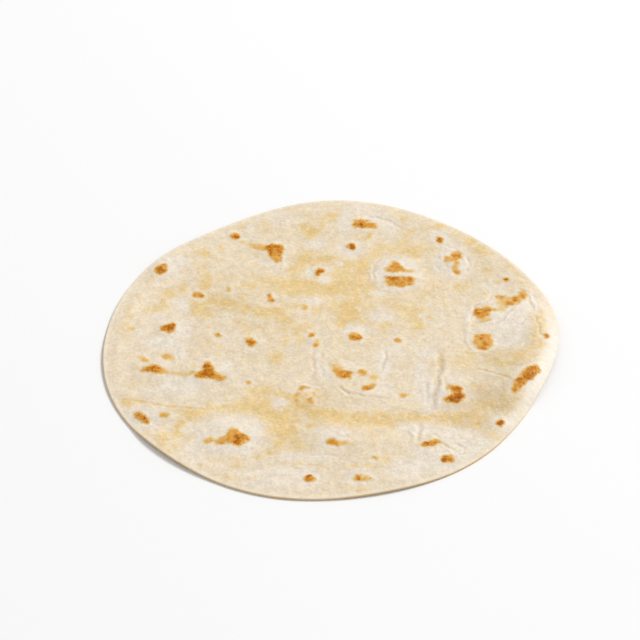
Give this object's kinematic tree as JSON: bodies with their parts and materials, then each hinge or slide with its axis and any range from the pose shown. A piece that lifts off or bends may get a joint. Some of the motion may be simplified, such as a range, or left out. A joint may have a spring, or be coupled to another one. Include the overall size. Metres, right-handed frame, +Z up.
{
  "type": "flour tortilla",
  "caption": "Soft round flour tortilla: a thin wheat flatbread lying open, with toasted spots, steam blisters and a slightly lifted rim.",
  "frame": {"origin": "on the surface the tortilla lies on, under the middle of its outline", "axes": "+Z up through the thin way of the round, +X to the right and +Y away from the viewer, as seen from the front"},
  "size_m": [0.2502, 0.249, 0.0077],
  "materials": {
    "baked_dough": "matt, slightly floury baked wheat dough, cream-white with damp yellow patches and golden-brown toasted spots"
  },
  "bodies": {
    "root": {"tortilla": "baked_dough"}
  },
  "joints": []
}
